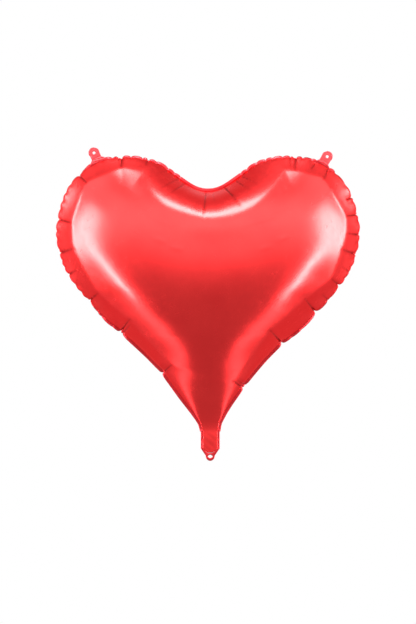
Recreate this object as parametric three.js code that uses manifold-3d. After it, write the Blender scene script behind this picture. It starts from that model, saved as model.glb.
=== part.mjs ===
// A heart-shaped foil balloon, filled with air: two metallised film sheets welded together round the rim,
// a flat filling neck that ends in a tie tab, a film valve inside, and two hanging tabs on the lobes.
//
// Millimetres. +X runs to the right as the balloon is looked at, +Y away from the viewer, +Z up.
// The weld lies in the plane y = 0, and the origin is the middle of the whole balloon's box.
// Foil is about 0.03 mm thick, so every sheet here is drawn much thicker than the real one, as a solid.

import * as THREE from 'three';
import { mergeVertices } from 'three/addons/utils/BufferGeometryUtils.js';
import Module from 'manifold-3d';

const wasm = await Module();
wasm.setup();

// ---------------------------------------------------------------- driving dimensions

const HALF_DEPTH = 150;      // from the weld plane to the fullest point of one panel
const PANEL_WALL = 1.0;      // thickness of the panel solids
const SEAM_WIDTH = 5.0;      // welded margin outside the weld line
const SEAM_HALF = 0.75;      // half thickness of everything that is fused from two sheets
const CLEAR = 0.3;           // gap between solids that lie against each other

// Right half of the weld line of the filled balloon, from the notch to the corner of the neck's mouth.
const WELD_LINE = [
  [0, 227.5], [18, 230], [36, 238.2], [69, 261], [105, 284], [165, 295], [225, 283], [277, 239],
  [303.2, 165], [299.4, 106], [275, 50], [205, -29], [115, -110], [52, -191], [21, -237], [15.5, -256.3],
];
const SPOKES_PER_SIDE = 34;  // samples of the weld line on each half
const RINGS = 9;             // rings of each dome, closer together towards the weld
const MIDDLE = [0, 40];      // every point of the weld line can be seen from here

// How full the dome is along a spoke: depth = (1 - t^power)^root, an ellipse with 2 and 0.5.
const SIDE_POWER = 2.0;
const SIDE_ROOT = 0.5;
const NOTCH_POWER = 4.0;     // blunter towards the notch
const NOTCH_SPREAD = 13;     // degrees
const NECK_POWER = 1.6;      // leaner towards the neck
const NECK_ROOT = 0.6;
const NECK_SPREAD = 20;      // degrees

// The neck hangs below the mouth, and folds at a line across its top.
const NECK_FOLD_Z = -258.5;
const NECK_TOP_Z = -259.3;
const NECK_HALF_WIDTH = 19;
const NECK_SEAM = 3.5;       // welded margin on both edges of the neck
const NECK_SHEET = 0.75;     // thickness of the neck's free sheets
const NECK_TAPER_Z = -291;   // where the neck starts to narrow to the tie tab
const TIE_TAB_Z = -305.5;
const TIE_TAB_HALF_WIDTH = 9.2;
const TIP_Z = -316;
const TIE_HOLE_Z = -307;
const TIE_HOLE_HALF_WIDTH = 5;
const TIE_HOLE_HALF_HEIGHT = 3.3;
const POCKET_FOOT_HALF_WIDTH = 4.5; // where the pocket between the neck's sheets opens into the tie hole
const POCKET_FOOT_Z = -303.4;

// The valve is a flat channel of two thin films, from the neck's mouth up into the balloon.
const FILM = 0.3;
const FILM_HALF_GAP = 0.15;
const VALVE_HALF_WIDTH = 14.5;
const VALVE_FLARE = 18;      // half width of its inner end
const VALVE_TOP_Z = -136;
const MOUTH_LINE_Z = -256.3; // everything that belongs to the balloon itself ends here

// Hanging tabs: each is a round head with a hole, on a base that widens to the seam.
const TAB_HOLES = { left_hang_tab: [-229.6, 304.2], right_hang_tab: [240.0, 296.6] };
const TAB_HEAD_RADIUS = 11;
const TAB_HOLE_RADIUS = 3.1;
const TAB_BASE_HALF_WIDTH = 16;
const TAB_SHOULDER = THREE.MathUtils.degToRad(-18); // where the straight sides leave the round head
const TAB_FOLD_GAP = 1.0;    // from the seam's edge to the line that the tab folds on
const TAB_BASE_GAP = 0.5;    // from that line to the tab's base

// ---------------------------------------------------------------- materials

function foil(color, roughness) {
  return new THREE.MeshStandardMaterial({ color, roughness, metalness: 0.75 });
}
const PANEL_FOIL = foil(0xe0303a, 0.3);
const SEAM_FOIL = foil(0xc8101c, 0.4);
const TAB_FOIL = foil(0xf05a62, 0.45);
const NECK_FOIL = foil(0xc9202a, 0.35);
const VALVE_FILM = new THREE.MeshStandardMaterial({ color: 0xe8e2dc, roughness: 0.4, metalness: 0 });

const balloon = new THREE.Group();

function add(name, geometry, material) {
  const mesh = new THREE.Mesh(geometry, material);
  mesh.name = name;
  balloon.add(mesh);
  return mesh;
}

// ---------------------------------------------------------------- the weld line

const weldCurve = new THREE.SplineCurve([
  ...WELD_LINE.slice(1).reverse().map(([x, z]) => new THREE.Vector2(-x, z)),
  ...WELD_LINE.map(([x, z]) => new THREE.Vector2(x, z)),
]);
// From the left corner of the mouth, up over the notch, to the right corner.
const weldPoints = weldCurve.getSpacedPoints(2 * SPOKES_PER_SIDE);

// The same line moved outwards, or inwards if distance is negative.
function moved(points, distance) {
  return points.map((point, i) => {
    const before = points[Math.max(i - 1, 0)];
    const after = points[Math.min(i + 1, points.length - 1)];
    const along = after.clone().sub(before).normalize();
    return new THREE.Vector2(point.x - along.y * distance, point.y + along.x * distance);
  });
}

// The points, none of them lower than the height given.
function above(points, lowest) {
  return points.map(({ x, y }) => new THREE.Vector2(x, Math.max(y, lowest)));
}

// ---------------------------------------------------------------- panels

function nearness(angle, target, spread) {
  const away = THREE.MathUtils.euclideanModulo(angle - target + 180, 360) - 180;
  return Math.exp(-((away / spread) ** 2));
}

// Depth of the dome as a share of its fullest depth; t runs from 0 at the middle to 1 at the weld.
function fullness(t, angle) {
  const notch = nearness(angle, 90, NOTCH_SPREAD);
  const neck = nearness(angle, -90, NECK_SPREAD);
  const power = SIDE_POWER + notch * (NOTCH_POWER - SIDE_POWER) + neck * (NECK_POWER - SIDE_POWER);
  const root = SIDE_ROOT + neck * (NECK_ROOT - SIDE_ROOT);
  return (1 - Math.min(t ** power, 1)) ** root;
}

// One curved surface: its middle point first, then ring after ring out to the rim.
function dome(rim, depth, side) {
  const [middleX, middleZ] = MIDDLE;
  const points = [[middleX, side * (SEAM_HALF + depth), middleZ]];
  for (let ring = 1; ring <= RINGS; ring += 1) {
    const t = Math.sin((ring / RINGS) * (Math.PI / 2));
    for (const { x, y: z } of rim) {
      const angle = THREE.MathUtils.radToDeg(Math.atan2(z - middleZ, x - middleX));
      const height = depth * fullness(ring === RINGS ? 1 : t, angle);
      points.push([
        middleX + t * (x - middleX),
        side * (SEAM_HALF + height),
        middleZ + t * (z - middleZ),
      ]);
    }
  }
  return points;
}

// A dished shell that stands on its rim: an outer dome, an inner dome, and the flat rim between them.
function panel(side) {
  const count = weldPoints.length;
  const depth = HALF_DEPTH - SEAM_HALF;
  const outer = dome(weldPoints, depth, side);
  const inner = dome(innerRim(), depth - PANEL_WALL, side);
  const at = (ring, spoke) => 1 + (ring - 1) * count + (spoke % count);
  const faces = [];
  const add3 = (a, b, c) => faces.push(side < 0 ? [a, c, b] : [a, b, c]);
  for (let spoke = 0; spoke < count; spoke += 1) {
    add3(0, at(1, spoke), at(1, spoke + 1));
    add3(outer.length, outer.length + at(1, spoke + 1), outer.length + at(1, spoke));
    for (let ring = 1; ring < RINGS; ring += 1) {
      const corners = [at(ring, spoke), at(ring + 1, spoke), at(ring + 1, spoke + 1), at(ring, spoke + 1)];
      const [a, b, c, d] = corners;
      const [e, f, g, h] = corners.map((corner) => corner + outer.length);
      add3(a, b, c);
      add3(a, c, d);
      add3(e, g, f);
      add3(e, h, g);
    }
    const [a, b] = [at(RINGS, spoke), at(RINGS, spoke + 1)];
    add3(a, a + outer.length, b + outer.length);
    add3(a, b + outer.length, b);
  }
  const geometry = new THREE.BufferGeometry();
  const positions = [...outer, ...inner].flat();
  geometry.setAttribute('position', new THREE.Float32BufferAttribute(positions, 3));
  geometry.setIndex(faces.flat());
  geometry.computeVertexNormals();
  return geometry;
}

// The rim of the inner dome: one wall thickness inside the weld line and above the mouth.
function innerRim() {
  return above(moved(weldPoints, -PANEL_WALL), MOUTH_LINE_Z + PANEL_WALL);
}

add('front_panel', panel(-1), PANEL_FOIL);
add('back_panel', panel(1), PANEL_FOIL);

// ---------------------------------------------------------------- flat pieces

// A flat piece: an outline in x and z, as thick as from y = low to y = high.
function plate(name, shape, low, high, material) {
  const geometry = new THREE.ExtrudeGeometry(shape, { depth: high - low, bevelEnabled: false });
  const mesh = add(name, geometry, material);
  mesh.rotation.x = Math.PI / 2;
  mesh.position.y = high;
  return mesh;
}

function polygon(points) {
  return new THREE.Shape(points.map(([x, z]) => new THREE.Vector2(x, z)));
}

// Points given for the right side only, from top to bottom, with the left side mirrored on.
function mirrored(rightSide) {
  return polygon([...rightSide, ...rightSide.toReversed().map(([x, z]) => [-x, z])]);
}

// The welded margin runs all the way round, from one corner of the mouth to the other.
const seamOuter = above(moved(weldPoints, CLEAR + SEAM_WIDTH), MOUTH_LINE_Z);
const seamInner = above(moved(weldPoints, CLEAR), MOUTH_LINE_Z);
plate('seam_band', new THREE.Shape([...seamOuter, ...seamInner.toReversed()]), -SEAM_HALF, SEAM_HALF, SEAM_FOIL);

// ---------------------------------------------------------------- hanging tabs

// A tab stands square on the seam's outer edge, at the point that is nearest to its hole.
function tabPlace([holeX, holeZ]) {
  const hole = new THREE.Vector2(holeX, holeZ);
  const edge = moved(weldCurve.getSpacedPoints(40 * SPOKES_PER_SIDE), CLEAR + SEAM_WIDTH);
  const root = edge.reduce((best, point) => (point.distanceTo(hole) < best.distanceTo(hole) ? point : best));
  const outwards = hole.clone().sub(root).normalize();
  return { hole, root, outwards, lean: Math.atan2(-outwards.x, outwards.y) };
}

for (const [name, place] of Object.entries(TAB_HOLES)) {
  const { hole, root, lean } = tabPlace(place);
  const base = TAB_FOLD_GAP + TAB_BASE_GAP - hole.distanceTo(root);
  const shape = new THREE.Shape();
  shape.moveTo(-TAB_BASE_HALF_WIDTH, base);
  shape.lineTo(TAB_BASE_HALF_WIDTH, base);
  shape.absarc(0, 0, TAB_HEAD_RADIUS, TAB_SHOULDER, Math.PI - TAB_SHOULDER, false);
  shape.closePath();
  const eye = new THREE.Path();
  eye.absarc(0, 0, TAB_HOLE_RADIUS, 0, 2 * Math.PI, true);
  shape.holes.push(eye);
  const tab = plate(name, shape, -SEAM_HALF, SEAM_HALF, TAB_FOIL);
  tab.rotation.set(Math.PI / 2, -lean, 0, 'YXZ');
  tab.position.set(hole.x, SEAM_HALF, hole.y);
}

// ---------------------------------------------------------------- neck and tie tab

const NECK_OUTLINE = [
  [NECK_HALF_WIDTH, NECK_TOP_Z],
  [NECK_HALF_WIDTH, NECK_TAPER_Z],
  [TIE_TAB_HALF_WIDTH, TIE_TAB_Z],
];
const POCKET_HALF_WIDTH = NECK_HALF_WIDTH - NECK_SEAM;

function neckShape() {
  const tipDepth = TIE_TAB_Z - TIP_Z;
  const tip = new THREE.EllipseCurve(0, TIE_TAB_Z, TIE_TAB_HALF_WIDTH, tipDepth, 0, Math.PI, true);
  const leftSide = NECK_OUTLINE.toReversed().map(([x, z]) => [-x, z]);
  return polygon([...NECK_OUTLINE, ...tip.getPoints(16).slice(1, -1).map(({ x, y }) => [x, y]), ...leftSide]);
}

// The pocket between the neck's free sheets, smaller all round by the gap given.
function pocket(gap, top) {
  return mirrored([
    [POCKET_HALF_WIDTH - gap, top],
    [POCKET_HALF_WIDTH - gap, NECK_TAPER_Z + NECK_SEAM / 3],
    [POCKET_FOOT_HALF_WIDTH - gap, POCKET_FOOT_Z],
  ]);
}

// The tie hole is a lens: two shallow arcs that meet in points at the sides.
function tieHole() {
  const points = [];
  const steps = 8;
  for (let i = -steps; i < steps; i += 1) {
    const share = i / steps;
    points.push([TIE_HOLE_HALF_WIDTH * share, TIE_HOLE_Z + TIE_HOLE_HALF_HEIGHT * (1 - share ** 2)]);
  }
  for (let i = steps; i > -steps; i -= 1) {
    const share = i / steps;
    points.push([TIE_HOLE_HALF_WIDTH * share, TIE_HOLE_Z - TIE_HOLE_HALF_HEIGHT * (1 - share ** 2)]);
  }
  return polygon(points);
}

function solid(shape, depth) {
  const geometry = new THREE.ExtrudeGeometry(shape, { depth, bevelEnabled: false });
  geometry.translate(0, 0, -depth / 2);
  geometry.deleteAttribute('normal');
  geometry.deleteAttribute('uv');
  const merged = mergeVertices(geometry, 1e-4);
  return new wasm.Manifold(new wasm.Mesh({
    numProp: 3,
    vertProperties: merged.attributes.position.array,
    triVerts: new Uint32Array(merged.index.array),
  }));
}

function fromSolid(body) {
  const { vertProperties, triVerts } = body.getMesh();
  const geometry = new THREE.BufferGeometry();
  geometry.setAttribute('position', new THREE.BufferAttribute(vertProperties, 3));
  geometry.setIndex(new THREE.BufferAttribute(triVerts, 1));
  return geometry;
}

// The fused foil of the neck: both edges, and the tab with its hole, in one piece.
const throughCut = 4 * SEAM_HALF;
const fused = solid(neckShape(), 2 * SEAM_HALF)
  .subtract(solid(pocket(0, NECK_TOP_Z + 1), throughCut))
  .subtract(solid(tieHole(), throughCut));
add('tie_tab', fromSolid(fused), SEAM_FOIL).rotation.x = Math.PI / 2;

const neckSheet = pocket(CLEAR, NECK_TOP_Z);
plate('neck_front', neckSheet, -SEAM_HALF - NECK_SHEET, -SEAM_HALF, NECK_FOIL);
plate('neck_back', neckSheet, SEAM_HALF, SEAM_HALF + NECK_SHEET, NECK_FOIL);

// ---------------------------------------------------------------- valve films

const FILM_OUT = FILM_HALF_GAP + FILM;
const valveShape = mirrored([[VALVE_FLARE, VALVE_TOP_Z], [VALVE_HALF_WIDTH, MOUTH_LINE_Z]]);
plate('valve_front_film', valveShape, -FILM_OUT, -FILM_HALF_GAP, VALVE_FILM);
plate('valve_back_film', valveShape, FILM_HALF_GAP, FILM_OUT, VALVE_FILM);

const inletShape = pocket(2 * CLEAR, NECK_TOP_Z);
plate('inlet_front_film', inletShape, -FILM_OUT, -FILM_HALF_GAP, VALVE_FILM);
plate('inlet_back_film', inletShape, FILM_HALF_GAP, FILM_OUT, VALVE_FILM);

export default balloon;
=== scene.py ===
# A heart-shaped foil balloon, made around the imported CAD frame.
#
# The smooth shape starts as a flat sheet of foil, blown up while it is held back from stretching. Its
# depth is then scaled to FULL_DEPTH, and its rim is moved onto WELD_LINE. The lowest part is a rounded
# cross-section of its own. Creases, scallops and ribs are laid on that shape.
# Everything is worked out in millimetres, +X right, +Y away from the viewer, +Z up.
# The function `made` turns it into metres.

import math

import bpy
import numpy as np
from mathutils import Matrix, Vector
from mathutils.bvhtree import BVHTree
from mathutils.geometry import delaunay_2d_cdt


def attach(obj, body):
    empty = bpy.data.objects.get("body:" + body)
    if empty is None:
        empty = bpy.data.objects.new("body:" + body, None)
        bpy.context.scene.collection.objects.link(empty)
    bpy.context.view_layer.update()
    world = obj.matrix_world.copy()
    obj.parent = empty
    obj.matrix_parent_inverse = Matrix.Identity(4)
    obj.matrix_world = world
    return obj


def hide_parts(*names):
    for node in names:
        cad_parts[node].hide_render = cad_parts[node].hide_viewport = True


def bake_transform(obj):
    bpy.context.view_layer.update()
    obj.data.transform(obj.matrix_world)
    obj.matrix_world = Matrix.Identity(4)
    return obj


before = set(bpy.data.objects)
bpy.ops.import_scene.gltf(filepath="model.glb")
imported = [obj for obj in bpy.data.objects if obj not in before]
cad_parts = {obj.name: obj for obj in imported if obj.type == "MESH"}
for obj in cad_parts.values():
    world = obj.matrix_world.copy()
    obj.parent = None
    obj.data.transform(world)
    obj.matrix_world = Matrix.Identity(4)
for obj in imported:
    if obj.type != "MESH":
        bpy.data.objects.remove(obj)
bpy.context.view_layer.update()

MILLIMETRE = 0.001

# ------------------------------------------------------------------ the balloon's own dimensions, in mm

MIDDLE = np.array([0.0, 40.0])   # every point of the weld line can be seen from here

# Right half of the weld line while the sheets still lie flat, from the notch to the neck's mouth.
FLAT_WELD = [(0, 322), (70, 337), (142, 352.5), (203, 347.5), (264, 325), (319.5, 281.5), (355.5, 219),
             (367, 153), (362.5, 71.5), (316, -17), (218, -121), (124.5, -210), (52, -268), (22, -286),
             (15.5, -296)]
# The same line on the filled balloon.
WELD_LINE = [(0, 227.5), (18, 230), (36, 238.2), (69, 261), (105, 284), (165, 295), (225, 283),
             (277, 239), (303.2, 165), (299.4, 106), (275, 50), (205, -29), (115, -110), (52, -191),
             (21, -237), (15.5, -256.3)]
MOUTH_HALF_WIDTH = 15.5
MOUTH_Z = -256.3
MARGIN = 5.0                     # welded strip outside the weld line
FOIL = 0.15                      # drawn thickness of one sheet
FUSED = 0.3                      # drawn thickness where both sheets are welded

# ------------------------------------------------------------------ lines


def even(line, step):
    """The same line with its points at an even step."""
    along = np.concatenate([[0], np.cumsum(np.linalg.norm(np.diff(line, axis=0), axis=1))])
    count = max(int(round(along[-1] / step)), 1) + 1
    at = np.linspace(0, along[-1], count)
    return np.stack([np.interp(at, along, line[:, k]) for k in (0, 1)], 1)


def spline(points, step):
    """A smooth curve through the points, sampled at an even step."""
    points = np.array(points, float)
    last = len(points) - 1
    t = np.linspace(0, 1, 40, endpoint=False)[:, None]
    pieces = []
    for i in range(last):
        before, a, b, after = points[max(i - 1, 0)], points[i], points[i + 1], points[min(i + 2, last)]
        span = np.linalg.norm(b - a)
        from_a = (b - before) / (span + np.linalg.norm(a - before)) * span
        into_b = (after - a) / (span + np.linalg.norm(after - b)) * span
        pieces.append((2 * t**3 - 3 * t**2 + 1) * a + (t**3 - 2 * t**2 + t) * from_a
                      + (3 * t**2 - 2 * t**3) * b + (t**3 - t**2) * into_b)
    return even(np.vstack(pieces + [points[-1:]]), step)


def heart_line(right_half, step):
    """From the left corner of the mouth over the notch to the right corner."""
    return spline([(-x, z) for x, z in right_half[:0:-1]] + right_half, step)


def closed(line, step):
    """The heart's line with the mouth's straight edge added."""
    mouth = even(np.array([line[-1], line[0]]), step)
    return np.vstack([line, mouth[1:-1]])


def polar(points):
    """Angle about the middle, and reach from it."""
    arm = points - MIDDLE
    return np.arctan2(arm[:, 1], arm[:, 0]), np.linalg.norm(arm, axis=1)


def reach_of(line):
    """How far the closed line lies from the middle, as a function of the angle."""
    angle, reach = polar(line)
    order = np.argsort(angle)
    angle, reach = angle[order], reach[order]
    return lambda a: np.interp(a, angle, reach, period=2 * math.pi)


def inside(points, line):
    """Which points lie inside a closed line."""
    result = np.zeros(len(points), bool)
    for a, b in zip(line, np.roll(line, -1, 0)):
        rise = b[1] - a[1]
        if rise == 0:
            continue
        crosses = (a[1] > points[:, 1]) != (b[1] > points[:, 1])
        result ^= crosses & (points[:, 0] < a[0] + (points[:, 1] - a[1]) * (b[0] - a[0]) / rise)
    return result


def distance_to(points, line):
    """Distance from each point to a closed line."""
    best = np.full(len(points), np.inf)
    for a, b in zip(line, np.roll(line, -1, 0)):
        span = b - a
        share = np.clip((points - a) @ span / max(span @ span, 1e-12), 0, 1)
        best = np.minimum(best, np.linalg.norm(points - a - share[:, None] * span, axis=1))
    return best


def smoothstep(x, low, high):
    t = np.clip((x - low) / (high - low), 0, 1)
    return t * t * (3 - 2 * t)


# ------------------------------------------------------------------ flat meshes


def lattice(line, step):
    """Points of a triangular lattice inside a closed line, clear of it."""
    low, high = line.min(0), line.max(0)
    rows = np.arange(low[1], high[1], step * math.sqrt(3) / 2)
    columns = np.arange(low[0], high[0], step)
    points = np.array([(x + 0.5 * step * (r % 2), z) for r, z in enumerate(rows) for x in columns])
    return points[inside(points, line) & (distance_to(points, line) > 0.7 * step)]


def flat_mesh(outline, holes, step):
    """Triangles between an outline and its holes. The outline's points come first."""
    lines = [outline] + holes
    fill = lattice(outline, step)
    for hole in holes:
        fill = fill[~inside(fill, hole) & (distance_to(fill, hole) > 0.6 * step)]
    edges = []
    first = 0
    for line in lines:
        edges += [(first + i, first + (i + 1) % len(line)) for i in range(len(line))]
        first += len(line)
    found = delaunay_2d_cdt([Vector(p) for p in np.vstack(lines + [fill])], edges, [], 0, 1e-6)
    points = np.array([tuple(p) for p in found[0]])
    faces = np.array([tuple(f) for f in found[2]])
    middle = points[faces].mean(1)
    keep = inside(middle, outline)
    for hole in holes:
        keep &= ~inside(middle, hole)
    faces = faces[keep]
    a, b, c = (points[faces[:, k]] for k in range(3))
    turn = (b[:, 0] - a[:, 0]) * (c[:, 1] - a[:, 1]) - (b[:, 1] - a[:, 1]) * (c[:, 0] - a[:, 0])
    faces[turn < 0] = faces[turn < 0][:, ::-1]
    return points, faces


# ------------------------------------------------------------------ filling the balloon

BLOW_STEP = 16.0
BLOW_STAGES = [(500, 3e-4), (300, 1.5e-4), (300, 6e-5)]   # steps and pressure; the mesh is halved once
SPEED_KEPT = 0.97                # share of its speed that a point keeps from one step to the next
EVENING = 0.05                   # share of the way to its neighbours' middle that a point moves each step


def face_edges(faces):
    return np.sort(np.vstack([faces[:, [0, 1]], faces[:, [1, 2]], faces[:, [2, 0]]]), axis=1)


def halved(flat, faces, rim, x):
    """The same sheet with every edge halved: each triangle becomes four."""
    count = len(flat)
    pairs, uses = np.unique(face_edges(faces), axis=0, return_counts=True)
    code = pairs[:, 0] * count + pairs[:, 1]

    def middle(a, b):
        return count + np.searchsorted(code, np.minimum(a, b) * count + np.maximum(a, b))

    a, b, c = faces.T
    ab, bc, ca = middle(a, b), middle(b, c), middle(c, a)
    faces = np.vstack([np.stack(t, 1) for t in ((a, ab, ca), (b, bc, ab), (c, ca, bc), (ab, bc, ca))])
    return (np.vstack([flat, flat[pairs].mean(1)]), faces, np.concatenate([rim, uses == 1]),
            np.vstack([x, x[pairs].mean(1)]))


def in_turns(pairs, count):
    """Groups of pairs in which no point appears twice, so that a group can be moved at once."""
    used = [0] * count
    turn = np.empty(len(pairs), int)
    for k, (i, j) in enumerate(pairs.tolist()):
        taken = used[i] | used[j]
        lowest = ~taken & (taken + 1)
        turn[k] = lowest.bit_length() - 1
        used[i] |= lowest
        used[j] |= lowest
    order = np.argsort(turn, kind="stable")
    return np.split(order, np.cumsum(np.bincount(turn))[:-1])


def blow(flat, faces, rim, x, steps, push):
    """Air pressure against foil whose edges are pulled back to their flat length, but may grow shorter."""
    count = len(x)
    edges = np.unique(face_edges(faces), axis=0)
    length = np.linalg.norm(flat[edges[:, 0]] - flat[edges[:, 1]], axis=1)
    groups = [(edges[g, 0], edges[g, 1], length[g]) for g in in_turns(edges, count)]
    corners = faces.T.ravel()
    degree = np.bincount(edges.ravel(), minlength=count)[:, None]
    inner = ~rim
    speed = np.zeros_like(x)
    for _ in range(steps):
        a, b, c = x[faces[:, 0]], x[faces[:, 1]], x[faces[:, 2]]
        force = np.cross(b - a, c - a) * push / 6
        gain = np.stack([np.bincount(corners, np.tile(force[:, k], 3), count) for k in range(3)], 1)
        moved = x + SPEED_KEPT * speed + gain
        for i, j, rest in groups:
            gap = moved[i] - moved[j]
            now = np.sqrt((gap * gap).sum(1)) + 1e-9
            move = gap * (0.5 * np.maximum(now - rest, 0) / now)[:, None]
            moved[i] -= move
            moved[j] += move
        total = np.stack([np.bincount(edges[:, 0], moved[edges[:, 1], k], count)
                          + np.bincount(edges[:, 1], moved[edges[:, 0], k], count) for k in range(3)], 1)
        moved[inner] += EVENING * (total / degree - moved)[inner]
        moved[rim, 1] = 0
        moved[inner, 1] = np.minimum(moved[inner, 1], -0.5)
        speed = moved - x
        x = moved
    return x


def blown_sheet():
    """The front sheet of the filled balloon: its flat points, its faces, and where the points went."""
    outline = closed(heart_line(FLAT_WELD, BLOW_STEP), BLOW_STEP)
    flat, faces = flat_mesh(outline, [], BLOW_STEP)
    rim = np.arange(len(flat)) < len(outline)
    x = np.stack([flat[:, 0], np.where(rim, 0, -2.0), flat[:, 1]], 1)
    for stage, (steps, push) in enumerate(BLOW_STAGES):
        if stage == 1:
            flat, faces, rim, x = halved(flat, faces, rim, x)
        x = blow(flat, faces, rim, x, steps, push)
    return flat, faces, x


# ------------------------------------------------------------------ the smooth shape

SPOKES = 120                     # control spokes round the middle, an even number
SHARES = 27                      # control points along a spoke
FULL_DEPTH = 148.5               # from the weld plane to the fullest point; the blown sheet is scaled to it
SAMPLES_PER_SPOKE = 4            # directions sampled on the blown sheet for each control spoke


def smooth_shape():
    """Control points of the blown sheet, by spoke and share of the spoke, alike on both sides.

    The blown sheet is shallower than the balloon, so its depth is scaled up.
    """
    flat, faces, x = blown_sheet()
    tree = BVHTree.FromPolygons([(a, 0, b) for a, b in flat], faces.tolist())
    samples = SPOKES * SAMPLES_PER_SPOKE
    angles = np.arange(samples) * 2 * math.pi / samples
    flat_reach = reach_of(closed(heart_line(FLAT_WELD, 2.0), 2.0))
    found = np.empty((len(angles), SHARES, 3))
    for i, (angle, reach) in enumerate(zip(angles, flat_reach(angles))):
        for j in range(SHARES):
            arm = 0.9995 * reach * j / (SHARES - 1)
            spot = Vector((MIDDLE[0] + arm * math.cos(angle), 0, MIDDLE[1] + arm * math.sin(angle)))
            face = faces[tree.find_nearest(spot)[2]]
            corner = flat[face]
            share = np.linalg.solve(np.vstack([corner.T, np.ones(3)]), [spot.x, spot.z, 1])
            found[i, j] = share @ x[face]
    weights = np.exp(-0.5 * (np.arange(-6, 7) / 2.5)**2)
    weights /= weights.sum()
    found = sum(w * np.roll(found, k, axis=0) for k, w in zip(range(-6, 7), weights))[::SAMPLES_PER_SPOKE]
    other = found[(SPOKES // 2 - np.arange(SPOKES)) % SPOKES] * (-1, 1, 1)
    found = (found + other) / 2
    found[:, :, 1] *= -FULL_DEPTH / found[:, :, 1].min()
    return found


def cubic(f):
    """The four weights of a uniform cubic B-spline."""
    return (1 - f)**3 / 6, (3 * f**3 - 6 * f**2 + 4) / 6, (-3 * f**3 + 3 * f**2 + 3 * f + 1) / 6, f**3 / 6


def on_shape(control, angle, share):
    """Points of the smooth shape, at flat angles and shares of the spoke from 0 to 1."""
    beyond = 2 * control[:, -1] - control[:, -2]
    opposite = np.roll(control[:, 1], SPOKES // 2, axis=0)
    padded = np.concatenate([opposite[:, None], control, beyond[:, None]], axis=1)
    u = (angle / (2 * math.pi) * SPOKES) % SPOKES
    v = np.clip(share, 0, 1) * (SHARES - 1)
    iu = np.floor(u).astype(int)
    iv = np.minimum(np.floor(v).astype(int), SHARES - 2)
    result = 0
    for du, wu in zip(range(-1, 3), cubic(u - iu)):
        for dv, wv in zip(range(4), cubic(v - iv)):
            result = result + (wu * wv)[:, None] * padded[(iu + du) % SPOKES, iv + dv]
    return result


# ------------------------------------------------------------------ creases

# Creases that cross the rim: direction from the middle in degrees, length seen from the front, depth.
CREASES = [
    (-71.6, 20, 2.6), (-70.2, 14, 1.4), (-38.6, 36, 4.4), (-14.6, 34, 4.2), (-7.5, 18, 1.2), (-0.8, 22, 3.6),
    (5.0, 14, 1.2), (11.3, 30, 3.2), (18.1, 26, 2.2), (25.0, 23, 3.0), (31.0, 12, 2.2), (43.6, 23, 2.6),
    (48.5, 16, 2.6), (55.1, 27, 2.6), (57.0, 18, 1.2), (116.0, 13, 1.6), (124.3, 21, 2.6), (125.3, 18, 1.4),
    (139.8, 22, 2.8), (156.6, 29, 3.2), (168.2, 28, 3.2), (176.2, 17, 1.8), (188.1, 24, 3.4),
    (208.4, 29, 4.0), (210.0, 22, 1.6), (242.9, 22, 3.2),
]
# Long creases over the notch: the same, and how far each turns from square to the rim, in degrees.
NOTCH_CREASES = [
    (91.2, 55, 2.2, 2), (80.9, 58, 2.6, 12), (76.0, 40, 1.0, 20), (73.5, 36, 0.9, 24), (102.0, 42, 1.5, -16),
    (105.0, 38, 1.0, -20), (109.0, 24, 0.6, -26), (111.0, 20, 0.5, -28), (87.5, 24, 0.7, 0),
]
# Stretches of rim that pucker into scallops: from and to in degrees, spacing, depth.
SCALLOPS = [
    (-1, 36, 19.5, 2.0), (36, 50, 24.0, 0.9), (50, 73, 19.0, 1.5), (105, 131, 19.0, 1.5),
    (131, 147, 26.0, 0.8), (147, 187, 19.5, 2.1), (187, 212, 30.0, 0.6), (-40, -1, 34.0, 0.5),
]
# Long arches of rim between two deep creases: from and to in degrees, height.
ARCHES = [(-70.2, -38.6, 1.2), (-38.6, -14.6, 2.4), (-14.6, -0.8, 1.4), (188.1, 208.4, 1.6),
          (208.4, 242.9, 1.8)]
# Bundles of fine ribs: direction, number, spacing, length, depth.
RIBS = [(241.5, 5, 4.2, 20, 0.5), (-70.5, 4, 4.0, 14, 0.5), (205.0, 3, 4.5, 12, 0.35)]
# Soft ridges that run over the belly, each from one point to another.
RIDGES = [((64, 150), (172, 186)), ((130, 123), (161, 133)), ((100, 106), (125, 113)),
          ((-116, 283), (-75, 236)), ((-111, 129), (-82, 121)), ((-76, 110), (-47, 107)),
          ((-140, 190), (-70, 150))]


COLUMN = 2.6                     # spacing of the mesh along the rim
FINE_COLUMN = 1.3                # and near a crease
CREASE_REACH = 5.5               # the finer columns reach this far on both sides of a crease
NOTCH_REACH = 50.0               # and this far round the notch
ARC_COLUMNS = 880
MOUTH_COLUMNS = 16
COLUMNS = ARC_COLUMNS + MOUTH_COLUMNS    # a multiple of 16, so that the columns can be thinned four times
TANGENT_STEP = 3.0


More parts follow.
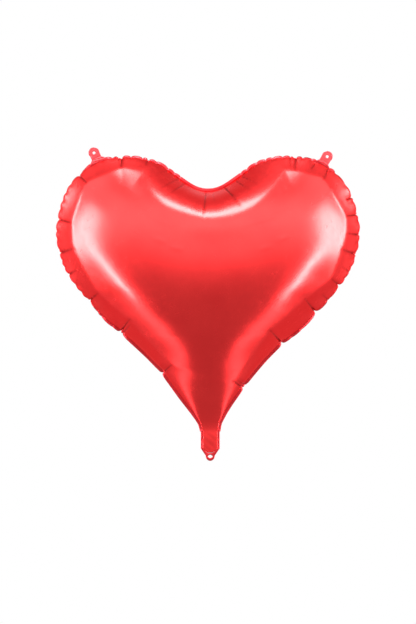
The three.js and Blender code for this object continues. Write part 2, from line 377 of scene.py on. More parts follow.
class Rim:
    """The weld line of the filled balloon, column by column, from the right corner of the mouth round."""

    def __init__(self):
        line = heart_line(WELD_LINE, 0.25)[::-1]
        angle, _ = polar(line)
        angle = np.unwrap(angle)
        along = np.concatenate([[0], np.cumsum(np.linalg.norm(np.diff(line, axis=0), axis=1))])
        self.fine_angle, self.fine_along, self.fine_line = angle, along, line
        marks = [self.place(a) for a, *_ in CREASES + NOTCH_CREASES]
        for direction, number, spacing, *_ in RIBS:
            marks += [self.place(direction) + spacing * (k - (number - 1) / 2) for k in range(number)]
        density = np.full(len(line), 1 / COLUMN)
        for mark in marks:
            density[np.abs(along - mark) < CREASE_REACH] = 1 / FINE_COLUMN
        density[np.abs(along - self.place(90)) < NOTCH_REACH] = 1 / FINE_COLUMN
        gathered = np.concatenate([[0], np.cumsum(np.diff(along) * density[1:])])
        at = np.interp(np.linspace(0, gathered[-1], ARC_COLUMNS + 1), gathered, along)
        self.at = at
        self.points = self.point(at)
        self.angle = np.interp(at, along, angle)
        tangent = self.point(at + TANGENT_STEP) - self.point(at - TANGENT_STEP)
        tangent /= np.linalg.norm(tangent, axis=1)[:, None]
        self.out = np.stack([tangent[:, 1], -tangent[:, 0]], 1)

    def place(self, degrees):
        """Distance along the line of the point that lies in this direction from the middle."""
        wanted = math.radians(degrees)
        while wanted < self.fine_angle[0]:
            wanted += 2 * math.pi
        while wanted > self.fine_angle[-1]:
            wanted -= 2 * math.pi
        return float(np.interp(wanted, self.fine_angle, self.fine_along))

    def point(self, at):
        return np.stack([np.interp(at, self.fine_along, self.fine_line[:, k]) for k in (0, 1)], -1)

    def outwards(self, at):
        step = self.point(at + TANGENT_STEP) - self.point(at - TANGENT_STEP)
        step = step / np.linalg.norm(step)
        return np.array([step[1], -step[0]])


SPACING_SPREAD = 0.24            # how unevenly the scallops follow each other, as a share of their spacing
ARCH_DIP = 0.3                   # how far an arch's ends dip below the weld line, as a share of its height


def pinches(rim):
    """Along the rim: how far it bulges out between its small pinches, and how near a pinch each column is."""
    rng = np.random.default_rng(11)
    bulge = np.zeros(len(rim.at))
    pinched = np.zeros(len(rim.at))
    for start, end, spacing, depth in SCALLOPS:
        start, end = rim.place(start), rim.place(end)
        count = round((end - start) / spacing)
        knots = np.linspace(start, end, count + 1)
        knots[1:-1] += rng.normal(0, SPACING_SPREAD * spacing, count - 1)
        arch = np.abs(np.sin(math.pi * np.interp(rim.at, knots, np.arange(count + 1))))**0.75
        within = smoothstep(rim.at, start - 2, start + 2) * (1 - smoothstep(rim.at, end - 2, end + 2))
        bulge += within * depth * (arch - 0.6)
        pinched = np.maximum(pinched, within * (1 - arch)**1.5 * min(depth / 1.6, 1))
    return bulge, pinched


def arches(rim):
    """Along the rim: how far it bows out between the deep creases of the flanks."""
    total = np.zeros(len(rim.at))
    for start, end, height in ARCHES:
        share = (rim.at - rim.place(start)) / (rim.place(end) - rim.place(start))
        within = (share > 0) & (share < 1)
        past_end = np.minimum(np.abs(share), np.abs(share - 1))
        outside = -ARCH_DIP * np.exp(-25 * past_end)
        total += height * np.where(within, np.sin(math.pi * share) - ARCH_DIP, outside)
    return total


def turned(direction, degrees):
    c, s = math.cos(math.radians(degrees)), math.sin(math.radians(degrees))
    return np.array([c * direction[0] - s * direction[1], s * direction[0] + c * direction[1]])


CREASE_DEPTH = 1.5               # the depths of the tables are multiplied by this
CREASE_RUN = 1.22                # and the lengths by this, as a crease fades out before its end


def crease(seen, start, inwards, length, depth, width=1.2, broad=6.5, broad_share=0.25, lead=0):
    """How deep one crease lies at each point, as seen from the front, and how strongly painted shade darkens
    it there.
    """
    rel = seen - start
    along = rel @ inwards
    beside = rel[:, 0] * inwards[1] - rel[:, 1] * inwards[0]
    fade = np.clip(1 - along / length, 0, 1)**0.8
    if lead:
        fade = fade * smoothstep(along, 0, lead)
    sharp = np.exp(-np.abs(beside) / width)
    sunk = depth * fade * ((1 - broad_share) * sharp + broad_share / (1 + (beside / broad)**2))
    return sunk, min(depth / 3, 1) * fade**0.6 * sharp


def all_creases(rim, seen, seed):
    """Depth of all creases and ribs at the points given, and the painted shade that darkens their colour. The
    seed varies them a little.
    """
    rng = np.random.default_rng(seed)
    total = np.zeros(len(seen))
    painted_crease_shade = np.zeros(len(seen))
    for direction, length, depth, *turn in CREASES + NOTCH_CREASES:
        at = rim.place(direction)
        over_notch = bool(turn)
        lean = (turn[0] if over_notch else 0) + rng.normal(0, 4)
        longer = CREASE_RUN * rng.uniform(0.92, 1.08)
        inwards = turned(-rim.outwards(at), lean)
        sunk, dark = crease(seen, rim.point(at), inwards, length * longer, depth * CREASE_DEPTH,
                            broad_share=0.1 if over_notch else 0.25, lead=9 if over_notch else 0)
        total += sunk
        painted_crease_shade = np.maximum(painted_crease_shade, dark)
    for direction, number, spacing, length, depth in RIBS:
        for k in range(number):
            at = rim.place(direction) + spacing * (k - (number - 1) / 2)
            reach = length * rng.uniform(0.7, 1.2)
            sunk, dark = crease(seen, rim.point(at), -rim.outwards(at), reach, depth, 1.2, broad_share=0)
            total += sunk
            # Ribs get twice as much painted shade as their depth alone would give.
            painted_crease_shade = np.maximum(painted_crease_shade, 2 * dark)
    return total, painted_crease_shade


SHOULDER_HEIGHT = 3.4            # of the blunt edge that joins the inner ends of the creases
SHOULDER_REACH = 20.0            # how far its slopes run
SHOULDER_ROUND = 2.5
COLLAR_HEIGHT = 5.6              # the same edge below the notch is higher, and bends softly
COLLAR_ROUND = 24.0
# The inner edge of the collar of puckered foil round the notch, from right to left.
COLLAR = [(153, 265), (130, 237), (93, 196), (54, 166), (-4, 160), (-60, 180), (-97, 212), (-127, 263)]


def shoulder_line(rim):
    """The line that joins the inner ends of the long creases, and runs along the collar."""
    right, left = [], []
    for direction, length, depth in CREASES:
        if length > 19 and depth > 2:
            at = rim.place(direction)
            end = rim.point(at) - (length + 3) * rim.outwards(at)
            (right if direction < 90 else left).append(end)
    return np.vstack([right, spline(COLLAR, 8.0), left])


def shoulder(rim, seen, inwards):
    """Between the puckered rim and the taut belly the foil bends along that line."""
    below_notch = np.exp(-(seen[:, 0] / 125)**4) * smoothstep(seen[:, 1], 90, 150)
    rounding = SHOULDER_ROUND + (COLLAR_ROUND - SHOULDER_ROUND) * below_notch
    height = SHOULDER_HEIGHT + (COLLAR_HEIGHT - SHOULDER_HEIGHT) * below_notch
    away = np.sqrt(distance_to(seen, shoulder_line(rim))**2 + rounding**2) - rounding
    above_tail = smoothstep(seen[:, 1], -190, -60)
    return height * np.exp(-away / SHOULDER_REACH) * above_tail * (1 - np.exp(-inwards / 6))


RIPPLE_HEIGHT = 0.6
RIPPLE_SPACING = 4.3
RIPPLES_HALF_WIDTH = 52
RIPPLES_FROM = (168, 182)        # heights between which the ripples rise
RIPPLES_TO = (196, 212)          # and between which they die away


def ripples(seen):
    """Fine upright ribs in the fold below the notch."""
    across = np.clip(1 - np.abs(seen[:, 0]) / RIPPLES_HALF_WIDTH, 0, 1)**0.5
    down = smoothstep(seen[:, 1], *RIPPLES_FROM) * (1 - smoothstep(seen[:, 1], *RIPPLES_TO))
    sway = 0.6 * np.sin(seen[:, 0] / 7)
    return RIPPLE_HEIGHT * across * down * np.sin(seen[:, 0] * 2 * math.pi / RIPPLE_SPACING + sway)


RIDGE_HEIGHT = 0.45
RIDGE_HALF_WIDTH = 4.0


def ridges(seen):
    """Soft ridges over the belly."""
    total = np.zeros(len(seen))
    for start, end in RIDGES:
        start, span = np.array(start), np.array(end) - start
        share = (seen - start) @ span / (span @ span)
        off = seen - start
        beside = (off[:, 0] * span[1] - off[:, 1] * span[0]) / np.linalg.norm(span)
        rise = np.sin(math.pi * np.clip(share, 0, 1))**0.7
        total += RIDGE_HEIGHT * rise * np.exp(-(beside / RIDGE_HALF_WIDTH)**2)
    return total


# ------------------------------------------------------------------ the two sheets

TAIL_LEAN = 4.5                  # how far the neck hangs to one side
TAIL_FROM = (30, 205)            # depths below the origin between which the tail's own form takes over
NECK_FOOT_Z = -300.5
NECK_TAPER_Z = -290.0
NECK_FOOT_HALF_WIDTH = 5.5
NECK_PUFF = 2.2                  # how far each sheet of the neck stands off the other
MEAN_REACH = 290.0


def leaning(points):
    """The neck hangs a little to the right of the middle."""
    points = points.copy()
    points[:, 0] += TAIL_LEAN * smoothstep(-points[:, 2], 185, 262)
    return points


def sheet_rows():
    """Shares of the spoke from the rim inwards, and at each every how many columns are kept."""
    rows = []
    inwards, step = 0.0, 1.3
    while inwards < 0.97 * MEAN_REACH:
        share = 1 - inwards / MEAN_REACH
        thinning = next(n for n, low in ((1, 0.72), (2, 0.42), (4, 0.2), (8, 0.09), (16, 0)) if share > low)
        rows.append((share, thinning))
        step = min(step * 1.05, 3.2 if thinning == 1 else 4.5)
        inwards += step
    return rows


def sheet_faces(rows, first):
    """Quads and triangles between the rows, and the fan about the middle point."""
    faces = []
    for r in range(len(rows) - 1):
        outer, inner = rows[r][1], rows[r + 1][1]
        a = lambda c: first[r] + (c % COLUMNS) // outer
        b = lambda c: first[r + 1] + (c % COLUMNS) // inner
        for c in range(0, COLUMNS, inner):
            if inner == outer:
                faces.append((a(c), a(c + outer), b(c + inner), b(c)))
            else:
                faces.append((a(c), a(c + outer), b(c)))
                faces.append((a(c + outer), b(c + inner), b(c)))
                faces.append((a(c + outer), a(c + inner), b(c + inner)))
    last = rows[-1][1]
    for c in range(0, COLUMNS, last):
        faces.append((first[-2] + c // last, first[-2] + (c + last) % COLUMNS // last, first[-1]))
    return faces


def vertex_normals(points, faces):
    triangles = np.array([t for f in faces for t in ((f[0], f[1], f[2]), (f[0], f[2], f[-1]))
                          if len(f) == 4 or t[1] == f[1]])
    a, b, c = (points[triangles[:, k]] for k in range(3))
    normal = np.cross(b - a, c - a)
    total = np.stack([np.bincount(triangles.ravel(), np.repeat(normal[:, k], 3), len(points))
                      for k in range(3)], 1)
    return total / np.linalg.norm(total, axis=1)[:, None]


def flat_angles(rim, control):
    """The flat angle of each column: where the sheet's own rim ends up in the column's direction."""
    corner = math.atan2(FLAT_WELD[-1][1] - MIDDLE[1], FLAT_WELD[-1][0])
    flat = np.linspace(corner, math.pi - corner, 2400)
    ends = on_shape(control, flat, np.ones(len(flat)))
    angle = np.unwrap(polar(ends[:, [0, 2]])[0])
    angle += (rim.angle[0] - angle[0]) * np.exp(-(flat - flat[0]) / 0.15)
    angle += (rim.angle[-1] - angle[-1]) * np.exp(-(flat[-1] - flat) / 0.15)
    angle = np.maximum.accumulate(angle)
    arc = np.interp(rim.angle, angle, flat)
    x = np.linspace(-MOUTH_HALF_WIDTH, MOUTH_HALF_WIDTH, MOUTH_COLUMNS + 1)[1:-1]
    mouth = 1.5 * math.pi + np.arctan(x / (MIDDLE[1] - FLAT_WELD[-1][1]))
    return np.concatenate([arc, mouth]), x


def round_smoothed(values, line, spread):
    """Values along a closed line, each averaged with its neighbours within the spread."""
    steps = np.linalg.norm(np.roll(line, -1, 0) - line, axis=1)
    along = np.concatenate([[0], np.cumsum(steps)])
    even_at = np.arange(0, along[-1], 1.0)
    wrapped = np.vstack([values, values[:1]])
    spaced = np.stack([np.interp(even_at, along, wrapped[:, k]) for k in (0, 1)], 1)
    reach = int(3 * spread)
    weights = np.exp(-0.5 * (np.arange(-reach, reach + 1) / spread)**2)
    weights /= weights.sum()
    blurred = np.stack([np.convolve(np.concatenate([spaced[-reach:, k], spaced[:, k], spaced[:reach, k]]),
                                    weights, "valid") for k in (0, 1)], 1)
    return np.stack([np.interp(along[:-1], even_at, blurred[:, k], period=along[-1]) for k in (0, 1)], 1)


def neck_puff(z):
    """How far a sheet of the neck stands out at its middle, down its length."""
    return NECK_PUFF * (1 - 0.8 * smoothstep(-z, 262, -NECK_FOOT_Z))


def rounded(share):
    """Height of a full cross-section, from 1 in the middle to 0 at both edges."""
    return np.sqrt(np.clip(1 - share**2, 0, 1))


def tail_form(points, column, rim):
    """The lowest part of the sheet runs down into the neck with one rounded cross-section."""
    central = points[column == ARC_COLUMNS + MOUTH_COLUMNS // 2]
    central = central[central[:, 2] < -60]
    order = np.argsort(central[:, 2])
    depth = np.interp(points[:, 2], central[order, 2], -central[order, 1])
    depth = np.hypot(depth, neck_puff(points[:, 2]))
    low = (rim.points[:, 0] > 0) & (rim.points[:, 1] < -60)
    edge = rim.points[low][np.argsort(rim.points[low, 1])]
    half_width = np.interp(points[:, 2], edge[:, 1], edge[:, 0])
    form = depth * rounded(points[:, 0] / half_width)
    share = smoothstep(-points[:, 2], *TAIL_FROM)
    return points[:, 1] * (1 - share) - form * share


def sheet(control, rim, side, seed):
    """One sheet with its half of the neck. Returns its points, its faces and the painted crease shade at each
    point.
    """
    angles, mouth_x = flat_angles(rim, control)
    ends = np.vstack([rim.points, np.stack([mouth_x, np.full(len(mouth_x), MOUTH_Z)], 1)])
    out = np.vstack([rim.out, np.tile([0.0, -1.0], (len(mouth_x), 1))])
    bulge, _ = pinches(rim)
    bulge = np.concatenate([bulge, np.zeros(len(mouth_x))])
    bow = np.concatenate([arches(rim), np.zeros(len(mouth_x))])
    flat_reach = reach_of(closed(heart_line(FLAT_WELD, 2.0), 2.0))(angles)
    off = ends - on_shape(control, angles, np.ones(COLUMNS))[:, [0, 2]]
    eased = round_smoothed(off, ends, 22.0)
    rows = sheet_rows()
    first = np.concatenate([[0], np.cumsum([COLUMNS // n for _, n in rows])])
    points, column, depth_in = [], [], []
    for share, thinning in rows:
        pick = np.arange(0, COLUMNS, thinning)
        row = on_shape(control, angles[pick], np.full(len(pick), share))
        inwards = ((1 - share) * flat_reach[pick])[:, None]
        row[:, [0, 2]] += eased[pick] * smoothstep(share, 0.4, 1.0)
        row[:, [0, 2]] += (off - eased)[pick] * np.exp(-inwards / 9)
        points.append(row)
        column.append(pick)
        depth_in.append((1 - share) * flat_reach[pick])
    middle = on_shape(control, np.array([0.0]), np.array([0.0]))
    points = np.vstack(points + [middle])
    column = np.concatenate(column + [[0]])
    depth_in = np.concatenate(depth_in + [[MEAN_REACH]])
    points[:COLUMNS, 1] = 0
    points[:, 1] = tail_form(points, column, rim)
    points[:ARC_COLUMNS + 1, 1] = 0
    faces = sheet_faces(rows, first)
    normal = vertex_normals(points, faces)
    beside = np.exp(-depth_in / 9)[:, None]
    flat_out = np.stack([out[column, 0], np.zeros(len(column)), out[column, 1]], 1)
    normal = normal * (1 - beside) + flat_out * beside
    normal /= np.linalg.norm(normal, axis=1)[:, None]

    seen = points[:, [0, 2]]
    sunk, painted_crease_shade = all_creases(rim, seen, seed)
    common, _ = all_creases(rim, seen[:COLUMNS], 0)
    sunk += ((common - sunk[:COLUMNS])[column]) * np.exp(-depth_in / 6)
    raised = ridges(seen) + ripples(seen) + shoulder(rim, seen, depth_in)
    raised += bulge[column] * np.exp(-depth_in / 6) + bow[column] * np.exp(-depth_in / 25)
    points += normal * ((raised - sunk) * smoothstep(points[:, 2], MOUTH_Z, MOUTH_Z + 8))[:, None]
    points[:, 1] -= FUSED / 2

    across = np.arange(-MOUTH_COLUMNS // 2, MOUTH_COLUMNS // 2 + 1) / (MOUTH_COLUMNS / 2)
    levels = np.arange(MOUTH_Z - 1.8, NECK_FOOT_Z - 0.1, -1.8)
    upper = [ARC_COLUMNS + k for k in range(MOUTH_COLUMNS)] + [0]
    for z in levels:
        width = MOUTH_HALF_WIDTH - (MOUTH_HALF_WIDTH - NECK_FOOT_HALF_WIDTH) * smoothstep(
            -z, -NECK_TAPER_Z, -NECK_FOOT_Z)
        crumple = 0.12 * smoothstep(-z, -MOUTH_Z, 265) * np.cos(5 * across + 0.4 * z) * (1 - across**2)
        row = np.stack([width * across, -FUSED / 2 - neck_puff(z) * rounded(across) + crumple,
                        np.full(len(across), z)], 1)
        lower = [len(points) + k for k in range(len(across))]
        faces += [(lower[k], lower[k + 1], upper[k + 1], upper[k]) for k in range(MOUTH_COLUMNS)]
        points = np.vstack([points, row])
        upper = lower
    points = leaning(points)
    if side > 0:
        points = points * (1, -1, 1)
        faces = [f[::-1] for f in faces]
    return points, faces, np.concatenate([painted_crease_shade, np.zeros(len(points) - len(painted_crease_shade))])


# ------------------------------------------------------------------ the welded margin and the tabs

# How far the margin is folded out of the weld's plane, in degrees: direction, fold away from the viewer.
FOLDS = [(-88, 8), (-70, 14), (-38, 16), (-18, 34), (-4, 76), (32, 76), (45, 60), (56, 40), (68, 12),
         (90, 4), (108, 12), (124, 40), (138, 60), (150, 76), (188, 76), (200, 24), (240, 12), (268, 8)]
MARGIN_ROWS = [-1.0, 0.0, 0.8, 1.7, 2.7, 3.8, 5.0]

TIE_HOLE = (-307.0, 5.0, 3.3)    # middle height, half width and half height of the lens
TIE_TOP_Z = -252.5
NECK_HALF_WIDTH = 19.0
TIE_TAB = [(19.0, -291.0), (9.2, -305.5)]
TIP_Z = -316.0

TAB_HEAD = 11.2
TAB_HOLE = 2.8
TAB_WAIST = (10.3, -11.4)        # half width of the neck below the head, and how far below the hole
TAB_SHOULDER = -18               # degrees below the hole's level where the straight sides leave the head
TABS = {"left": ((-229.6, 304.2), 20.0, "left_hang_tab"),
        "right": ((240.0, 296.6), 15.5, "right_hang_tab")}


def margin(rim, rim_row):
    """The welded strip outside the weld line."""
    _, pinched = pinches(rim)
    degrees = np.degrees(rim.angle)
    fold = np.interp(degrees, [d for d, _ in FOLDS], [f for _, f in FOLDS])
    fold = fold + 38 * pinched
    for direction, *_ in CREASES:
        fold += 30 * np.exp(-np.abs(rim.at - rim.place(direction)) / 3)
    for hole, *_ in TABS.values():
        away = np.linalg.norm(rim.points - np.array(hole), axis=1)
        fold *= smoothstep(away, 24, 40)
    fold = np.radians(np.minimum(fold, 86))
    wave = 0.5 * np.sin(rim.at / 9.0 + 1.5 * np.sin(rim.at / 41))
    rows = []
    for width in MARGIN_ROWS:
        bend = fold * min(max(width, 0) / 2.0, 1)
        push = width * np.cos(bend)
        aside = width * np.sin(bend) + wave * max(width, 0) / MARGIN
        rows.append(np.stack([rim_row[:, 0] + push * rim.out[:, 0], aside,
                              rim_row[:, 2] + push * rim.out[:, 1]], 1))
    count = ARC_COLUMNS + 1
    faces = []
    for r in range(len(rows) - 1):
        for c in range(count - 1):
            faces.append((r * count + c, (r + 1) * count + c, (r + 1) * count + c + 1, r * count + c + 1))
    return np.vstack(rows), faces


def arc(centre, half_width, half_height, start, end, count):
    turn = np.radians(np.linspace(start, end, count))
    return np.stack([centre[0] + half_width * np.cos(turn), centre[1] + half_height * np.sin(turn)], 1)


def lens(middle_z, half_width, half_height):
    """A hole with two shallow arcs that meet in points at its sides."""
    share = np.linspace(-1, 1, 13)
    top = np.stack([half_width * share, middle_z + half_height * (1 - share**2)], 1)
    foot = np.stack([half_width * share[::-1], middle_z - half_height * (1 - share**2)], 1)
    return np.vstack([top[:-1], foot[:-1]])


def tie_tab():
    """The fused edges of the neck and the tab below it, with the hole for the ribbon."""
    step = 1.3
    pocket = [(MOUTH_HALF_WIDTH - 0.6, TIE_TOP_Z), (MOUTH_HALF_WIDTH - 0.6, NECK_TAPER_Z),
              (NECK_FOOT_HALF_WIDTH, NECK_FOOT_Z + 0.6)]
    right = even(np.array([(NECK_HALF_WIDTH, TIE_TOP_Z)] + TIE_TAB), step)
    tip = arc((0, TIE_TAB[-1][1]), TIE_TAB[-1][0], TIE_TAB[-1][1] - TIP_Z, 0, -90, 10)
    outer = np.vstack([right[:-1], tip])
    outer = np.vstack([outer, outer[::-1][1:] * (-1, 1)])
    inner = even(np.array(pocket + [(-x, z) for x, z in pocket[::-1]]), step)
    outline = np.vstack([outer, inner[::-1]])
    flat, faces = flat_mesh(outline, [lens(*TIE_HOLE)], step)
    near_hole = distance_to(flat, lens(*TIE_HOLE))
    ring = np.exp(-((near_hole - 1.6) / 0.8)**2)
    line = np.exp(-((NECK_HALF_WIDTH - 1.2 - np.abs(flat[:, 0])) / 0.6)**2) * (flat[:, 1] > TIE_TAB[0][1])
    curl = 0.9 * smoothstep(-flat[:, 1], 292, 316) * np.sin(flat[:, 0] / 6)
    y = curl - 0.25 * ring - 0.15 * line
    return leaning(np.stack([flat[:, 0], y, flat[:, 1]], 1)), faces


def hang_tab(hole, base_half_width, rim, wrinkles):
    """A hanging tab: a round head with a hole, on a base that widens to the weld."""
    hole = np.array(hole)
    away = np.linalg.norm(rim.points - hole, axis=1)
    root = rim.points[np.argmin(away)]
    up = (hole - root) / away.min()
    across = np.array([up[1], -up[0]])
    base = -(away.min() - 1.2)
    head = arc((0, 0), TAB_HEAD, TAB_HEAD, TAB_SHOULDER, 180 - TAB_SHOULDER, 34)
    flare = (0.4 * base_half_width + 0.6 * TAB_WAIST[0], 0.5 * base + 0.5 * TAB_WAIST[1])
    right = np.array([(base_half_width, base), flare, TAB_WAIST, head[0]])
    side = even(right, 1.2)[:-1]
    foot = even(np.array([(-base_half_width, base), (base_half_width, base)]), 1.2)
    outline = np.vstack([foot[:-1], side, head, (side * (-1, 1))[::-1][:-1]])
    eye = arc((0, 0), TAB_HOLE, TAB_HOLE, 0, 360, 21)[:-1]
    flat, faces = flat_mesh(outline, [eye], 1.2)
    reach = np.linalg.norm(flat, axis=1)
    edge = distance_to(flat, outline)
    ring = np.exp(-((reach - 4.9) / 0.7)**2)
    bead = np.exp(-((edge - 2.0) / 0.55)**2) * smoothstep(flat[:, 1], base + 6, base + 9)
    low = 1 - smoothstep(flat[:, 1], base + 5, -9.0)
    across_fold = flat[:, 1] + 0.18 * flat[:, 0]
    waist = np.exp(-((flat[:, 1] + 11.5) / 0.9)**2)
    y = (-0.35 * ring - 0.25 * bead + 0.55 * waist * wrinkles
         + wrinkles * low * (0.5 * np.sin(across_fold * 1.6) + 0.2 * np.sin(flat[:, 0] * 0.9)))
    x, z = (root + (away.min() + flat[:, 1:]) * up + flat[:, :1] * across).T
    return np.stack([x, y, z], 1), faces


# ------------------------------------------------------------------ the valve films

FILM_TOP_Z = -136.0
FILM_TOP_HALF_WIDTH = 18.0
FILM_HALF_WIDTH = 13.6


def valve_film(side):
    """One film of the flat valve, from the neck up into the balloon."""
    columns, rows = 14, 70
    points, faces = [], []
    for z in np.linspace(FILM_TOP_Z, NECK_FOOT_Z + 1.5, rows + 1):
        width = FILM_HALF_WIDTH + (FILM_TOP_HALF_WIDTH - FILM_HALF_WIDTH) * smoothstep(z, MOUTH_Z, FILM_TOP_Z)
        width -= (FILM_HALF_WIDTH - NECK_FOOT_HALF_WIDTH + 1.2) * smoothstep(-z, -NECK_TAPER_Z, -NECK_FOOT_Z)
        free = smoothstep(z, MOUTH_Z + 4, MOUTH_Z + 40)
        for share in np.linspace(-1, 1, columns + 1):
            gap = 0.12 + 0.25 * (1 - share**2) + free * 1.2 * (1 - share**2)
            sway = free * 1.5 * math.sin(z / 17)
            points.append((width * share, side * gap + sway, z))
    for r in range(rows):
        for c in range(columns):
            a = r * (columns + 1) + c
            face = (a, a + columns + 1, a + columns + 2, a + 1)
            faces.append(face if side < 0 else face[::-1])
    return leaning(np.array(points)), faces


# ------------------------------------------------------------------ materials


class Nodes:
    """A material with a Principled shader, and short ways to add nodes to it."""

    def __init__(self, name):
        self.material = bpy.data.materials.new(name)
        self.material.use_nodes = True
        self.tree = self.material.node_tree
        self.shader = self.tree.nodes["Principled BSDF"]
        self.place = self.add("ShaderNodeTexCoord").outputs["Object"]

    def add(self, kind, **settings):
        node = self.tree.nodes.new(kind)
        for key, value in settings.items():
            setattr(node, key, value)
        return node

    def link(self, source, target):
        self.tree.links.new(source, target)

    def noise(self, scale, detail=2.0, stretch=(1, 1, 1)):
        mapping = self.add("ShaderNodeMapping")
        mapping.inputs["Scale"].default_value = stretch
        noise = self.add("ShaderNodeTexNoise")
        noise.inputs["Scale"].default_value = scale
        noise.inputs["Detail"].default_value = detail
        self.link(self.place, mapping.inputs["Vector"])
        self.link(mapping.outputs["Vector"], noise.inputs["Vector"])
        return noise.outputs["Fac"]

    def ranged(self, source, low, high, start=0.3, end=0.7):
        node = self.add("ShaderNodeMapRange")
        for key, value in (("From Min", start), ("From Max", end), ("To Min", low), ("To Max", high)):
            node.inputs[key].default_value = value
        self.link(source, node.inputs["Value"])
        return node.outputs["Result"]

    def mixed(self, factor, first, second):
        node = self.add("ShaderNodeMix", data_type="RGBA")
        self.link(factor, node.inputs["Factor"])
        node.inputs[6].default_value = (*first, 1)
        node.inputs[7].default_value = (*second, 1)
        return node.outputs[2]

    def bump(self, height, distance, strength=1.0, under=None):
        node = self.add("ShaderNodeBump")
        node.inputs["Strength"].default_value = strength
        node.inputs["Distance"].default_value = distance
        self.link(height, node.inputs["Height"])
        if under is not None:
            self.link(under, node.inputs["Normal"])
        return node.outputs["Normal"]

    def set(self, **sockets):
        for key, value in sockets.items():
            self.shader.inputs[key.replace("_", " ")].default_value = value


PAINTED_SHADE_LEVEL = 0.12              # brightness of the painted shade in a sharp crease, as a share of the deep colour


def foil_material(name, colour, deep, roughness, crinkle, coat):
    """Metallised film under clear red lacquer: satin, a little uneven, with fine crinkles, and painted shade
    darkening its colour along the creases.
    """
    m = Nodes(name)
    # Painted shade: the base colour is darkened where the crease attribute on the points is high.
    painted_crease_shade = m.add("ShaderNodeAttribute", attribute_name="painted_crease_shade").outputs["Fac"]
    tint = m.mixed(m.ranged(m.noise(14, 3), 0, 1), colour, deep)
    shaded_creases = m.mixed(painted_crease_shade, colour, tuple(PAINTED_SHADE_LEVEL * c for c in deep))
    m.link(tint, shaded_creases.node.inputs[6])
    m.link(shaded_creases, m.shader.inputs["Base Color"])
    m.link(m.ranged(m.noise(90, 3), roughness - 0.025, roughness + 0.025), m.shader.inputs["Roughness"])
    broad = m.bump(m.noise(28, 2), 0.0006 * crinkle)
    fine = m.bump(m.noise(420, 2), 0.00002, under=broad)
    m.link(fine, m.shader.inputs["Normal"])
    m.set(Metallic=1.0, Specular_Tint=(1.0, 0.35, 0.36, 1.0),
          Coat_Weight=coat, Coat_Roughness=0.24, Coat_IOR=1.5)
    return m.material


def film_material():
    """Clear soft film, slightly milky."""
    m = Nodes("valve_film")
    m.link(m.mixed(m.ranged(m.noise(60, 2), 0, 1), (0.86, 0.84, 0.8), (0.93, 0.92, 0.9)),
           m.shader.inputs["Base Color"])
    m.link(m.ranged(m.noise(200, 2), 0.25, 0.4), m.shader.inputs["Roughness"])
    m.link(m.bump(m.noise(150, 3), 0.0001), m.shader.inputs["Normal"])
    m.set(Alpha=0.6, IOR=1.5)
    return m.material


# ------------------------------------------------------------------ making the pieces


def made(name, points, faces, material, thickness, offset, painted_crease_shade=None):
    """A closed thin piece: the surface given, drawn to the thickness given. -1 thickens it inwards."""
    mesh = bpy.data.meshes.new(name)
    mesh.from_pydata((points * MILLIMETRE).tolist(), [], [[int(i) for i in f] for f in faces])
    # The painted shade of the creases is stored on the points, for the foil's colour.
    if painted_crease_shade is not None:
        mesh.attributes.new("painted_crease_shade", "FLOAT", "POINT").data.foreach_set("value", painted_crease_shade)
    mesh.materials.append(material)
    piece = bpy.data.objects.new(name, mesh)
    bpy.context.scene.collection.objects.link(piece)
    solid = piece.modifiers.new("thickness", "SOLIDIFY")
    solid.thickness = thickness * MILLIMETRE
    solid.offset = offset
    solid.use_even_offset = False
    with_thickness = piece.evaluated_get(bpy.context.evaluated_depsgraph_get())
    piece.data = bpy.data.meshes.new_from_object(with_thickness)
    piece.modifiers.clear()
    piece.data.shade_smooth()
    return piece


ENVELOPE_FOIL = foil_material("panel_foil", (0.53, 0.0185, 0.0185), (0.49, 0.0150, 0.0155), 0.25, 0.10, 0.15)
SEAM_FOIL = foil_material("seam_foil", (0.36, 0.014, 0.018), (0.30, 0.010, 0.014), 0.36, 0.5, 0.15)
TAB_FOIL = foil_material("tab_foil", (0.56, 0.045, 0.052), (0.52, 0.033, 0.040), 0.38, 0.5, 0.3)
VALVE_FILM = film_material()

control = smooth_shape()
rim = Rim()

front = sheet(control, rim, -1, 1)
back = sheet(control, rim, 1, 2)
SHEETS = [("front_sheet", front, ("front_panel", "neck_front")),
          ("back_sheet", back, ("back_panel", "neck_back"))]
for name, (points, faces, painted_crease_shade), nodes in SHEETS:
    piece = made(name, points, faces, ENVELOPE_FOIL, FOIL, -1, painted_crease_shade)
    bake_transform(piece)
    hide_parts(*nodes)

rim_row = front[0][:ARC_COLUMNS + 1]
piece = made("seam_margin", *margin(rim, rim_row), SEAM_FOIL, FUSED, 0)
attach(piece, "envelope")
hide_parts("seam_band")

piece = made("tie_tab_foil", *tie_tab(), SEAM_FOIL, FUSED, 0)
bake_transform(piece)
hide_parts("tie_tab")

for side_name, (hole, base, node) in TABS.items():
    piece = made(f"{side_name}_tab_foil", *hang_tab(hole, base, rim, 1.0 if side_name == "left" else 0.6),
                 TAB_FOIL, FUSED + 0.1, 0)
    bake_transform(piece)
    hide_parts(node)

for side_name, side in (("front", -1), ("back", 1)):
    piece = made(f"{side_name}_valve_film", *valve_film(side), VALVE_FILM, 0.1, 0)
    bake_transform(piece)
    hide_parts(f"valve_{side_name}_film", f"inlet_{side_name}_film")

# ------------------------------------------------------------------ the studio


def softbox(name, place, size, power, aim=(0, 0, 0)):
    light = bpy.data.lights.new(name, "AREA")
    light.shape = "RECTANGLE"
    light.size, light.size_y = size
    light.energy = power
    lamp = bpy.data.objects.new(name, light)
    lamp.location = place
    lamp.rotation_mode = "QUATERNION"
    lamp.rotation_quaternion = (Vector(aim) - Vector(place)).to_track_quat("-Z", "Y")
    lamp.visible_camera = False
    bpy.context.scene.collection.objects.link(lamp)


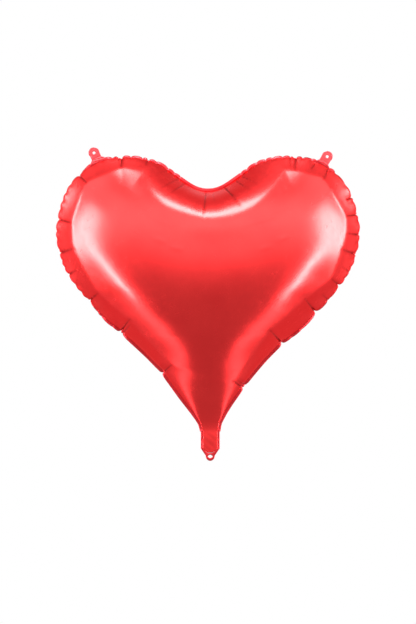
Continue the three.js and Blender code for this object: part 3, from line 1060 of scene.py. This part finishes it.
for name, side in (("left", -1), ("right", 1)):
    softbox(f"{name}_softbox", (1.48 * side, -0.29, 0.05), (0.11, 1.9), 52, (0, 0, 0.05))
    softbox(f"{name}_low_softbox", (1.48 * side, -0.29, -1.3), (0.45, 1.6), 9)
softbox("top_softbox", (0, -0.34, 1.44), (0.85, 0.4), 38)

# The room that the foil mirrors: light above the viewer, dim below and behind.
ROOM = [(-1.0, 0.9), (-0.5, 1.0), (-0.25, 1.25), (0.0, 1.8), (0.3, 3.4), (0.6, 5.2), (0.8, 5.0),
        (0.93, 2.4), (1.0, 1.4)]
BEHIND = 1.25
ROOM_SCALE = 8.0

world = bpy.data.worlds.new("studio")
bpy.context.scene.world = world
world.use_nodes = True
nodes, links = world.node_tree.nodes, world.node_tree.links
nodes.clear()
split = nodes.new("ShaderNodeSeparateXYZ")
links.new(nodes.new("ShaderNodeTexCoord").outputs["Generated"], split.inputs[0])


def ranged(source, low, high, to_low, to_high):
    node = nodes.new("ShaderNodeMapRange")
    node.interpolation_type = "SMOOTHSTEP"
    for key, value in (("From Min", low), ("From Max", high), ("To Min", to_low), ("To Max", to_high)):
        node.inputs[key].default_value = value
    links.new(source, node.inputs["Value"])
    return node.outputs["Result"]


ramp = nodes.new("ShaderNodeValToRGB")
links.new(ranged(split.outputs["Z"], -1, 1, 0, 1), ramp.inputs["Fac"])
ramp.inputs["Fac"].links[0].from_node.interpolation_type = "LINEAR"
while len(ramp.color_ramp.elements) < len(ROOM):
    ramp.color_ramp.elements.new(0.5)
for stop, (z, level) in zip(ramp.color_ramp.elements, ROOM):
    stop.position = (z + 1) / 2
    stop.color = (level / ROOM_SCALE,) * 3 + (1,)
room = nodes.new("ShaderNodeBackground")
room.inputs["Strength"].default_value = ROOM_SCALE
links.new(ramp.outputs["Color"], room.inputs["Color"])
behind = nodes.new("ShaderNodeBackground")
behind.inputs["Color"].default_value = (1, 1, 1, 1)
behind.inputs["Strength"].default_value = BEHIND
backdrop = nodes.new("ShaderNodeBackground")
backdrop.inputs["Color"].default_value = (1, 1, 1, 1)
around = nodes.new("ShaderNodeMixShader")
links.new(ranged(split.outputs["Y"], -0.3, 0.05, 0, 1), around.inputs["Fac"])
links.new(room.outputs[0], around.inputs[1])
links.new(behind.outputs[0], around.inputs[2])
seen = nodes.new("ShaderNodeMixShader")
links.new(nodes.new("ShaderNodeLightPath").outputs["Is Camera Ray"], seen.inputs["Fac"])
links.new(around.outputs[0], seen.inputs[1])
links.new(backdrop.outputs[0], seen.inputs[2])
links.new(seen.outputs[0], nodes.new("ShaderNodeOutputWorld").inputs["Surface"])
bpy.context.scene.view_settings.view_transform = "Standard"

# A pale round floor well below the balloon.
FLOOR_RADIUS = 0.5
FLOOR_Z = -0.78
mesh = bpy.data.meshes.new("floor")
corners = [(FLOOR_RADIUS * math.cos(a), FLOOR_RADIUS * math.sin(a), FLOOR_Z)
           for a in np.linspace(0, 2 * math.pi, 97)[:-1]]
mesh.from_pydata(corners, [], [list(range(len(corners)))])
paint = bpy.data.materials.new("floor_paint")
paint.use_nodes = True
paint.node_tree.nodes["Principled BSDF"].inputs["Base Color"].default_value = (0.9, 0.9, 0.9, 1)
paint.node_tree.nodes["Principled BSDF"].inputs["Roughness"].default_value = 0.8
mesh.materials.append(paint)
floor = bpy.data.objects.new("floor", mesh)
bpy.context.scene.collection.objects.link(floor)
floor.visible_glossy = False

# The camera looks straight at the balloon's front from far off.
CAMERA_DISTANCE = 5.0
FRAME_HEIGHT = 1.256             # metres seen from top to bottom of the picture, at the balloon
SENSOR = 36.0
lens_camera = bpy.data.cameras.new("camera")
lens_camera.sensor_width = SENSOR
lens_camera.lens = SENSOR * CAMERA_DISTANCE / FRAME_HEIGHT
camera = bpy.data.objects.new("camera", lens_camera)
camera.location = (0, -CAMERA_DISTANCE, -0.0163)
camera.rotation_euler = (math.pi / 2, 0, 0)
bpy.context.scene.collection.objects.link(camera)
bpy.context.scene.camera = camera
